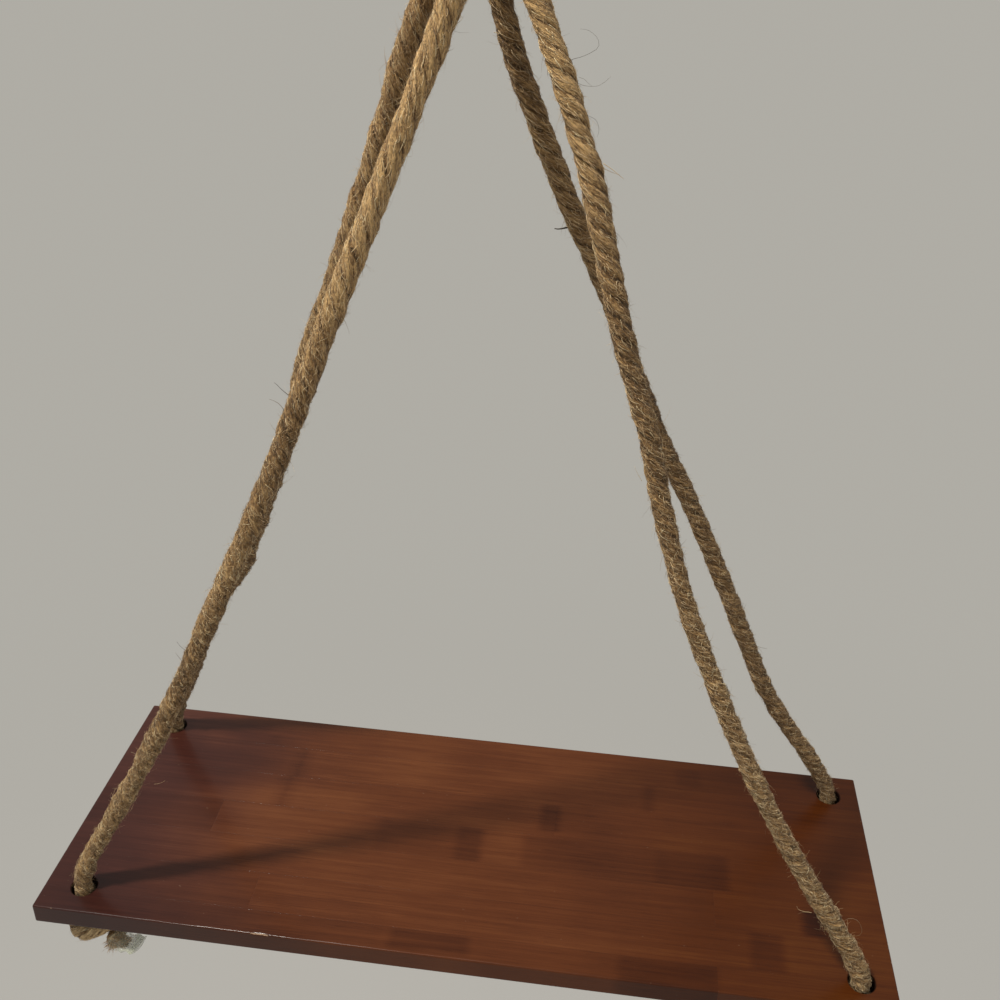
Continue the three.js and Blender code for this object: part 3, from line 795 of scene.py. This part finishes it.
def bambooFinish(name, number, part, stave):
    f = Finish(name)
    x, y, z = f.place()
    left = x + board["length"] / 2
    across = (board["width"] / 2 - number * board["stave"] - y) * (1 / board["stave"])
    seed = number * 13.7 + part * 5.1
    fibre = f.noise((x * 0.03, y * 2.2, z * 2.2 + seed), 5, 0.6)
    broad = f.noise((x * 0.012, y * 0.4, seed), 3, 0.6)
    cloud = f.noise((x * 0.012, y * 0.02, 4.4), 3)
    pore = f.noise((x * 0.12, y * 4.2, z * 4.2 + seed))
    ragged = (f.noise((x * 0.02, y * 1.4, seed + 3), 3, 0.6) - 0.5) * 9
    tone = stave["tone"][part] * 0.5 + (fibre - 0.5) * 0.28 + (broad - 0.5) * 0.38
    tone = tone + (cloud - 0.5) * 0.7
    for start, stop, low, high, depth in stave["blocksAndShadows"]:
        place = left + ragged * 0.7
        shape = place.band(start, stop, 3 if depth < 0 else 12) * across.band(low, high, 0.07)
        if depth > 0:
            shape = shape * fibre.ramp(0.42, 0.6)
        tone = tone + shape * (depth * 0.6)
    for place in stave["nodes"]:
        near = (left + ragged * 0.8).away(place)
        tone = tone - near.ramp(0.2, 2.4, 1, 0) * 0.06 - near.ramp(1.0, 9, 1, 0) * 0.09
    tone = tone - pore.ramp(0.58, 0.72) * 0.14
    share = (tone + 0.5).most(0.0).least(1.0)
    purpleAndSheen, brown, orange = (f.ramp(share, list(zip((0.1, 0.5, 0.9), shades)))
                             for shades in stains.values())
    stain = left + (cloud - 0.5) * 90
    # the purplish stain at the left is partly painted sheen
    colour = f.mix(stain.ramp(10, 130), purpleAndSheen, brown)
    colour = f.mix(stain.ramp(230, 350), colour, orange)
    seamLine = across.away(0.5).ramp(0.485, 0.498)
    colour = f.mix(seamLine * 0.15, colour, (0.03, 0.01, 0.006))
    fleck = f.noise((x * 0.55, y * 0.8, z + seed), 1).ramp(0.8, 0.83)
    colour = f.mix(fleck * 0.3, colour, (0.36, 0.24, 0.16))
    rubbed = (f.mark("wear") * 1.6 - f.noise((x, y * 2, z * 2), 3, scale=1.2)).ramp(0.3, 0.6)
    colour = f.mix(rubbed, colour, (0.45, 0.31, 0.2))
    gloss = 0.24 + f.noise((x * 0.03, y * 0.05, z * 0.05), 4) * 0.14 + rubbed * 0.3
    height = fibre * 0.5 - pore.ramp(0.6, 0.72) * 0.15 + broad * 0.4
    for holeX, holeY in board["holes"].values():  # painted shade inside the holes: near black, and dull
        fromHole = ((x - holeX) * (x - holeX) + (y - holeY) * (y - holeY)) ** 0.5
        holeShade = fromHole.ramp(board["holeRadius"] + 0.15, board["holeRadius"] + 0.5, 1, 0)
        colour = f.mix(holeShade * 0.85, colour, (0.016, 0.006, 0.003))
        gloss = gloss.most(holeShade * 0.9)
    coat = stain.ramp(0, 240, 0.3, 0.02) * (1 - gloss.ramp(0.5, 0.8))  # thickest at the left
    return f.shade({"Base Color": colour, "Roughness": gloss, "Specular IOR Level": 0.2,
                    "Coat Weight": coat, "Coat Roughness": 0.16}, height, 0.04)


# Knots under the board, and the clear tape round their ends

knot = {"diameter": 8.6, "pitch": 9.6, "clearance": 0.3, "startInside": 1.2, "lay": 25,
        # the knots' fibres are paler than the long ropes' fibres too: painted light
        "ropeShare": 0.96, "matting": 0.35, "paleness": 0.95,
        "fibres": 9.0, "fuzz": 7.0}  # on each mm
fray = {"length": 5, "yarns": 620, "heldShare": 0.6,  # yarns that run on through the tape
        "held": (4, 9.5), "sprung": (2.5, 6.5), "widths": (0.12, 0.34), "inside": 1.5}
overhandShares = [  # an overhand knot under the front left hole, as shares of its pitch
    (0, 0, 0), (0, 0, -0.5), (0.25, 0.1, -1.15), (0.35, 0.25, -1.85), (0.3, 0.7, -2.4),
    (0.2, 1.4, -2.6), (0.3, 2.05, -2.3), (0.6, 2.35, -1.65), (1, 2.15, -1), (1.3, 1.55, -0.65),
    (1.4, 0.8, -0.56), (1.3, 0.05, -0.62), (0.95, -0.6, -0.8), (0.3, -0.9, -1.05),
    (-0.35, -0.65, -1.3), (-0.7, 0, -1.45), (-0.5, 0.7, -1.5), (0.1, 1.15, -1.6),
    (0.8, 1.35, -1.8), (1.25, 0.98, -1.94), (1.35, 0.35, -1.95), (1.35, -0.28, -1.86),
    (1.58, -0.7, -1.75), (2.1, -0.85, -1.64),
]
tape = {"grip": 6, "tab": 9, "wall": 0.12, "spread": 1.15, "flat": 0.16, "crinkle": 0.3,
        "slack": 0.25, "sides": 40, "rows": 34}


def stageKnot(corner, x, y, seed):
    pitch, top = knot["pitch"], -board["thickness"]
    mirrorX, mirrorY = -np.sign((x, y))
    points = [(x + across * mirrorX * pitch, y + along * mirrorY * pitch,
               up * pitch + top - knot["clearance"]) for across, along, up in overhandShares]
    points[0] = (x, y, top + knot["startInside"])
    whole = smoothLine(points, rope["step"])
    line = whole[:-round(fray["length"] / rope["step"])]
    look = {**rope, "diameter": knot["diameter"] * knot["ropeShare"], "lay": knot["lay"]}
    piece, surface = ropeObject(corner + "_knot_laid", line, look, seed, knotPaintedLightFinish,
                                matting=knot["matting"])
    matted = mattedFibres(corner + "_knot_fibres", surface, knot["fibres"], seed + 1, matFinish,
                          matting=knot["matting"], paleness=knot["paleness"])
    loose = flyawayFibres(corner + "_knot_fuzz", surface, knot["fuzz"], seed + 2, fuzzFinish)
    way = unit(whole[-1] - line[-1])
    frayed = frayObject(corner + "_frayed_end", line[-1], way, seed + 3)
    sleeve = tapeObject(corner + "_tape_sleeve", whole[-1], way, seed + 4)
    settle("shelf", "jute_rope", piece, matted, loose, frayed)
    settle("shelf", "clear_tape", sleeve)
    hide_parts(corner + "_knot")
    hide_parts(corner + "_tape")
    return [piece, matted, loose, frayed, sleeve]


def frayObject(name, end, way, seed):
    # The end's yarns: some run on through the tape, the others have sprung out before it.
    rng = np.random.default_rng(seed)
    each = (fray["yarns"], 1)
    side = unit(np.cross(way, (0, 0, 1.0)))
    up = np.cross(side, way)
    angle = rng.uniform(0, 2 * math.pi, each)
    across, high = np.cos(angle), np.sin(angle)
    far = np.sqrt(rng.uniform(0, 1, each)) * knot["diameter"] * 0.42
    root = end - way * fray["inside"] + side * far * across + up * far * high
    held = rng.uniform(0, 1, each) < fray["heldShare"]
    length = np.where(held, rng.uniform(*fray["held"], each), rng.uniform(*fray["sprung"], each))
    t = np.linspace(0, 1, hair["frayed"])[:, None]
    reach = way * length * np.where(held, 1, rng.uniform(-0.9, 0.5, each))
    gathered = -(side * far * across * 0.25 + up * far * high * 0.75)
    sprung = (side * across * rng.uniform(0.5, 3, each)
              - np.array((0, 0, 1.0)) * rng.uniform(0, 3.6, each))
    curl = side * rng.normal(0, 0.6, each) + up * rng.normal(0, 0.4, each)
    spread = np.where(held, gathered, sprung) + curl
    paths = root[:, None] + reach[:, None] * t + spread[:, None] * t**1.4
    return hairObject(name, paths, rng.uniform(*fray["widths"], each[0]), frayPaintedLightFinish, tip=0.5)


def tapeObject(name, end, way, seed):
    # A thin crinkled sleeve that grips the rope and is pinched flat beyond its end.
    rng = np.random.default_rng(seed)
    side = unit(np.cross((0, 0, 1.0), way))
    up = np.cross(way, side)
    sides, rows = tape["sides"], tape["rows"]
    place = np.linspace(-tape["grip"], tape["tab"], rows)[:, None]
    angles = circle(sides)
    folds = rng.normal(0, 1, (rows, sides))
    for _ in range(2):
        folds = (folds + np.roll(folds, 1, 1) + np.roll(folds, -1, 1)) / 2.2
        folds[1:-1] = (folds[:-2] + folds[1:-1] + folds[2:]) / 2.2
    pinch = np.clip((place + tape["grip"] * 0.5) / (tape["tab"] * 0.9), 0, 1)
    pinch = pinch * pinch * (3 - 2 * pinch)  # 1 where the tape is pinched flat
    wide = 1 + (tape["spread"] - 1) * pinch
    thin = 1 + (tape["flat"] - 1) * pinch
    lift = (0.5 * np.sin(place * 1.1 + seed) + 0.5 * np.cos(angles * 2)) * pinch
    shells = []
    for wall in (0, -tape["wall"]):
        radius = (knot["diameter"] / 2 + knot["clearance"] + tape["slack"] + wall
                  + folds * tape["crinkle"] * (1 - 0.4 * pinch))
        shells.append((end + way * place)[:, None] + side * (
            radius * np.cos(angles) * wide)[..., None] + up * (
            radius * np.sin(angles) * thin + lift)[..., None])
    outer, inner = shells
    faces = gridFaces(2 * rows, sides, closed=False)
    last = (2 * rows - 1) * sides
    faces += [[last + k, last + (k + 1) % sides, (k + 1) % sides, k] for k in range(sides)]
    piece = makeObject(name, np.concatenate([outer, inner[::-1]]), faces, tapeFinish, smooth=False)
    mark(piece, "tab", np.repeat(np.concatenate([pinch, pinch[::-1]]), sides))
    return piece


def tapeFinishOf(name):
    f = Finish(name)
    x, y, z = f.place()
    wrinkle = f.noise((x, y, z), 4, 0.7, scale=0.8)
    sheen = f.noise((x, y, z + 9), scale=0.5)
    tab = f.mark("tab")
    # The tint is paler than clear tape, painted light in the board's shade, and the paler patches
    # are a painted sheen.
    colour = f.mix(sheen, (0.56, 0.62, 0.44), (0.86, 0.88, 0.74))
    return f.shade({"Base Color": colour, "Roughness": 0.06 + sheen * 0.1,
                    "Alpha": 0.12 + tab * 0.14 + wrinkle.ramp(0.45, 0.7) * (0.12 + tab * 0.18),
                    "Coat Weight": 0.6, "Coat Roughness": 0.04}, wrinkle, 0.6)


# Twine wound round the four ropes under the ring

binding = {"start": 424, "height": 15, "turns": 6.5, "distance": 6.3, "fuzz": 4.0, "seed": 91,
           "matting": 0.3}
twine = {**rope, "diameter": 2.0, "lay": 5.5, "columns": 6, "strandShare": 0.6, "step": 0.8,
         "yarns": 5, "yarnDepth": 0.05, "yarnTwist": -14, "unevenness": (14, 0.05),
         "roughness": 0.03, "slack": (45, 0.1)}


def bundleOutline():
    # A line round the four ropes where they are bound, at a distance from their middles.
    front, back = ([np.array(point[:2]) for point in route if point[2] == binding["start"]]
                   for route in (frontRoute, backRoute))
    spots = [back[0], *front, back[1]]
    outline = []
    for n, here in enumerate(spots):
        before, after = spots[n - 1], spots[(n + 1) % len(spots)]
        arrival = math.atan2(*(here - before)[::-1])
        turn = (math.atan2(*(after - here)[::-1]) - arrival) % (2 * math.pi)
        for a in arrival - math.pi / 2 + np.linspace(0, turn, 9):
            outline.append(here + binding["distance"] * np.array((math.cos(a), math.sin(a))))
    return np.array(outline + outline[:1])


def stageBinding():
    outline = bundleOutline()
    around = alongLine(outline)
    total = around[-1] * binding["turns"]
    at = np.arange(0, total, twine["step"])
    low = binding["start"] + twine["diameter"] / 2
    line = np.column_stack([between(at % around[-1], around, outline),
                            low + (binding["height"] - twine["diameter"]) * at / total])
    piece, surface = ropeObject("binding_twine", line, twine, binding["seed"], twineFinish,
                                matting=binding["matting"])
    fuzz = flyawayFibres("binding_fuzz", surface, binding["fuzz"], binding["seed"] + 1, fuzzFinish,
                         usual=0.9, longest=2.5, widths=(0.04, 0.08))
    settle("shelf", "jute_twine", piece, fuzz)
    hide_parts("rope_binding")
    print("binding wound,", round(total), "mm of twine")


# Steel ring and ceiling hook

hook = {"wire": 5, "bend": 11, "bendHeight": 528.551, "neck": 15, "sides": 28,
        "bends": (52, 25, 0, -30, -60, -90, -120, -150, 180, 164),  # degrees round the bend
        "tipShares": (-1.02, 0.72),  # where the tip ends, of the bend's radius
        "collarRadius": 7, "collarThickness": 3, "underEdge": 0.9, "topEdge": 0.5,
        "threadLength": 22, "core": 1.9, "pitch": 2.75, "plain": 1.2, "tip": 5.5, "inside": 0.6}
ring = {"radius": 18.5, "wire": 5, "clearance": 0.3, "turns": 144, "sides": 28,
        "weld": 0.28, "weldPlace": 200, "scale": 0.05}  # mm, degrees round the ring, mm


def stageRing():
    turns, sides = ring["turns"], ring["sides"]
    rng = np.random.default_rng(7)
    a, b = circle(turns), circle(sides)
    centre = hook["bendHeight"] - hook["bend"] + hook["wire"] + ring["clearance"] - ring["radius"]
    fromWeld = (a - math.radians(ring["weldPlace"]) + math.pi) % (2 * math.pi) - math.pi
    fromWeld = np.abs(fromWeld) * ring["radius"]
    bead = ring["weld"] * np.exp(-(fromWeld / 0.9) ** 2) - 0.12 * np.exp(
        -((fromWeld - 2.2) / 0.7) ** 2)
    lumps = rng.normal(0, ring["scale"], (turns, sides)) * np.exp(-(fromWeld / 1.2) ** 2)[:, None]
    r = ring["wire"] / 2 + bead[:, None] + lumps
    far = ring["radius"] + r * np.cos(b)
    points = np.stack([-r * np.sin(b), far * np.cos(a)[:, None],
                       far * np.sin(a)[:, None] + centre], -1)
    faces = [[v % (turns * sides) for v in face]
             for face in gridFaces(turns + 1, sides, closed=False)]
    piece = makeObject("ring_wire", points, faces, steelFinish)
    settle("ring", "zinc_plated_steel", piece)
    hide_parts("hanging_ring")
    print("ring bent and welded")


def hookWire():
    half, bend, bendAt = hook["wire"] / 2, hook["bend"], hook["bendHeight"]
    route = [(0, 0, hangHeight - hook["collarThickness"] / 2), (0, 0, bendAt + hook["neck"])]
    for a in np.radians(hook["bends"]):
        route.append((bend * math.cos(a), 0, bendAt + bend * math.sin(a)))
    tipX, tipUp = hook["tipShares"]
    route.append((bend * tipX, 0, bendAt + bend * tipUp))
    line = smoothLine(route, 0.6)
    capShares = np.sin(np.linspace(0, math.pi / 2, 8)[1:])  # the tip is a half ball
    radius = np.concatenate([np.full(len(line), half),
                             half * np.sqrt(np.clip(1 - capShares**2, 0.0004, 1))])
    line = np.vstack([line, line[-1] + unit(line[-1] - line[-2]) * (capShares * half)[:, None]])
    normal, side = frames(line)
    a = circle(hook["sides"])[:, None]
    points = line[:, None] + radius[:, None, None] * (
        np.cos(a) * normal[:, None] + np.sin(a) * side[:, None])
    return makeObject("hook_wire", points, gridFaces(len(line), hook["sides"]), steelFinish)


def hookCollar():
    wide, under, top = hook["collarRadius"], hook["underEdge"], hook["topEdge"]
    foot, bore = hangHeight - hook["collarThickness"], hook["wire"] * 0.45  # bore: in the wire
    quarter = np.linspace(0, math.pi / 2, 5)
    profile = [(bore, foot)]
    profile += [(wide - under + under * math.sin(c), foot + under - under * math.cos(c))
                for c in quarter]
    profile += [(wide - top + top * math.cos(c), hangHeight - top + top * math.sin(c))
                for c in quarter]
    collar = lathe("hook_collar", profile + [(bore, hangHeight)], 56, steelFinish)
    collar.data.set_sharp_from_angle(angle=math.radians(40))
    return collar


def hookThread(rows=190, sides=40):
    half, core, plain = hook["wire"] / 2, hook["core"], hook["plain"]
    z = np.linspace(-hook["inside"], hook["threadLength"], rows)[:, None]
    a = circle(sides)
    phase = ((z - plain) / hook["pitch"] - a / (2 * math.pi)) % 1
    crest = np.clip(1 - np.abs(phase - 0.5) / 0.3, 0, 1)
    near = np.clip((z - plain) / (hook["pitch"] * 0.5), 0, 1)
    shape = core + (half - core) * (1 - near) + (half - core) * crest * near
    shape = shape * np.clip((hook["threadLength"] - z) / hook["tip"], 0.02, 1) ** 0.8
    points = np.stack([shape * np.cos(a), shape * np.sin(a), z + hangHeight + 0 * a], -1)
    return makeObject("hook_thread", points, gridFaces(rows, sides), steelFinish)


def stageHook():
    wire = hookWire()
    settle("hook", "zinc_plated_steel", wire, hookCollar(), hookThread())
    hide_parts("ceiling_hook")
    print("hook bent, collar and thread cut")


def steelFinishOf(name):
    f = Finish(name)
    x, y, z = f.place()
    cloud = f.noise((x, y, z), 3, scale=0.25)
    grain = f.noise((x, y, z), 4, 0.6, scale=2.5)
    speck = f.noise((x, y, z), scale=1.3).ramp(0.66, 0.72)
    colour = f.mix(cloud.ramp(0.3, 0.7), (0.55, 0.55, 0.54), (0.68, 0.69, 0.7))
    colour = f.mix(speck * 0.5, colour, (0.3, 0.29, 0.27))
    return f.shade({"Base Color": colour, "Metallic": 1.0,
                    "Roughness": 0.2 + cloud * 0.12 + grain * 0.08 + speck * 0.2}, grain, 0.04)


# The frayed ends: orange jute of their own, painted paler as painted light, since they hang in the
# board's shade.
frayPaintedLightFinish = hairFinish("frayed_jute_painted_light_finish", (0.3, 0.13, 0.035), (0.68, 0.36, 0.11),
                        (0.95, 0.66, 0.3))
twineFinish = juteFinish("jute_twine_finish", (0.07, 0.036, 0.012), (0.33, 0.2, 0.085),
                         (0.6, 0.42, 0.22), 6.1)
tapeFinish = tapeFinishOf("clear_tape_finish")
steelFinish = steelFinishOf("zinc_plated_finish")


# Camera, floor, soft room light and two lamps

studio = {
    "floor": (0.7, 0.685, 0.655), "backdrop": (0.43, 0.415, 0.375), "room": (1.0, 0.98, 0.94),
    "roomLight": 0.38, "nearShare": 0.45, "farShare": 1.0,  # how far the floor shows the backdrop
    "floorReach": 12000, "floorDrop": 1150,  # mm from the middle, and below the ceiling
    "aim": (0, 0, -0.45),  # m, where the lamps point
}
lamps = {
    "key_lamp": {"from": (-0.388, -0.208, 1.0), "far": 1.29, "size": 0.1, "power": 13,
                 "colour": (1.0, 0.95, 0.87)},
    "fill_lamp": {"from": (0.7, -1.0, 0.5), "far": 2.6, "size": 1.6, "power": 6,
                  "colour": (0.96, 0.97, 1.0)},
}


def seenDirectly(f, dimming=None):
    # The eye sees the backdrop's colour, and so do mirrors and clear things, less so upwards.
    rays = f.node("LightPath").socket.node
    eye, mirror, clear = (Feed(rays, "Is " + name + " Ray")
                          for name in ("Camera", "Glossy", "Transmission"))
    mirrored = mirror.most(clear)
    return eye.most(mirrored if dimming is None else mirrored * (1 - dimming))


def placeCamera():
    eye = bpy.data.cameras.new("photo_camera")
    eye.lens, eye.sensor_width = camera["lens"], camera["sensor"]
    eye.clip_start = camera["clipStart"]
    holder = linked("photo_camera", eye)
    holder.location = raised(camera["place"]) * mm
    holder.rotation_euler = [math.radians(a) for a in camera["turn"]]
    bpy.context.scene.camera = holder


def layFloor():
    f = Finish("pale_floor")
    x, y, z = f.place()
    far = ((x * x + y * y) ** 0.5).ramp(250, 1300, studio["nearShare"], studio["farShare"])
    lit = f.node("BsdfDiffuse", {}, {"Color": studio["floor"]})
    pale = f.node("Emission", {}, {"Color": studio["backdrop"], "Strength": 1.0})
    mixed = f.node("MixShader", {}, {0: seenDirectly(f) * far, 1: lit, 2: pale})
    f.node("OutputMaterial", {}, {"Surface": mixed})
    reach, level = studio["floorReach"], hangHeight - studio["floorDrop"]
    makeObject("floor", [(-reach, -reach, level), (reach, -reach, level),
                                  (reach, reach, level), (-reach, reach, level)],
                        [[0, 1, 2, 3]], f.owner)


def lightRoom():
    f = Finish("soft_room", "worlds")
    room = f.node("Background", {}, {"Color": studio["room"], "Strength": studio["roomLight"]})
    pale = f.node("Background", {}, {"Color": studio["backdrop"], "Strength": 1.0})
    upwards = f.split(f.node("TexCoord", output="Generated"))[2].ramp(0.15, 0.6)
    mixed = f.node("MixShader", {}, {0: seenDirectly(f, upwards), 1: room, 2: pale})
    f.node("OutputWorld", {}, {"Surface": mixed})
    bpy.context.scene.world = f.owner
    for name, lamp in lamps.items():
        light = bpy.data.lights.new(name, "AREA")
        light.energy, light.size, light.color = lamp["power"], lamp["size"], lamp["colour"]
        holder = linked(name, light)
        way = Vector(lamp["from"]).normalized()
        holder.location = Vector(studio["aim"]) + way * lamp["far"]
        holder.rotation_euler = way.to_track_quat("Z", "Y").to_euler()


def stageStudio():
    bpy.context.scene.view_settings.view_transform = "Standard"
    placeCamera()
    layFloor()
    lightRoom()
    print("camera, floor and lights placed")


stageStudio()
ropes = stageRopes()
knots = {corner: stageKnot(corner, *hole, 200 + 10 * n)
         for n, (corner, hole) in enumerate(board["holes"].items())}
print("knots tied")
for name, (piece, fibres, line) in ropes.items():
    row = name.split("_")[0]
    fibres + knots[row + "_left"] + knots[row + "_right"]
stageStrayHairs()
stageBoard()
stageBinding()
stageRing()
stageHook()
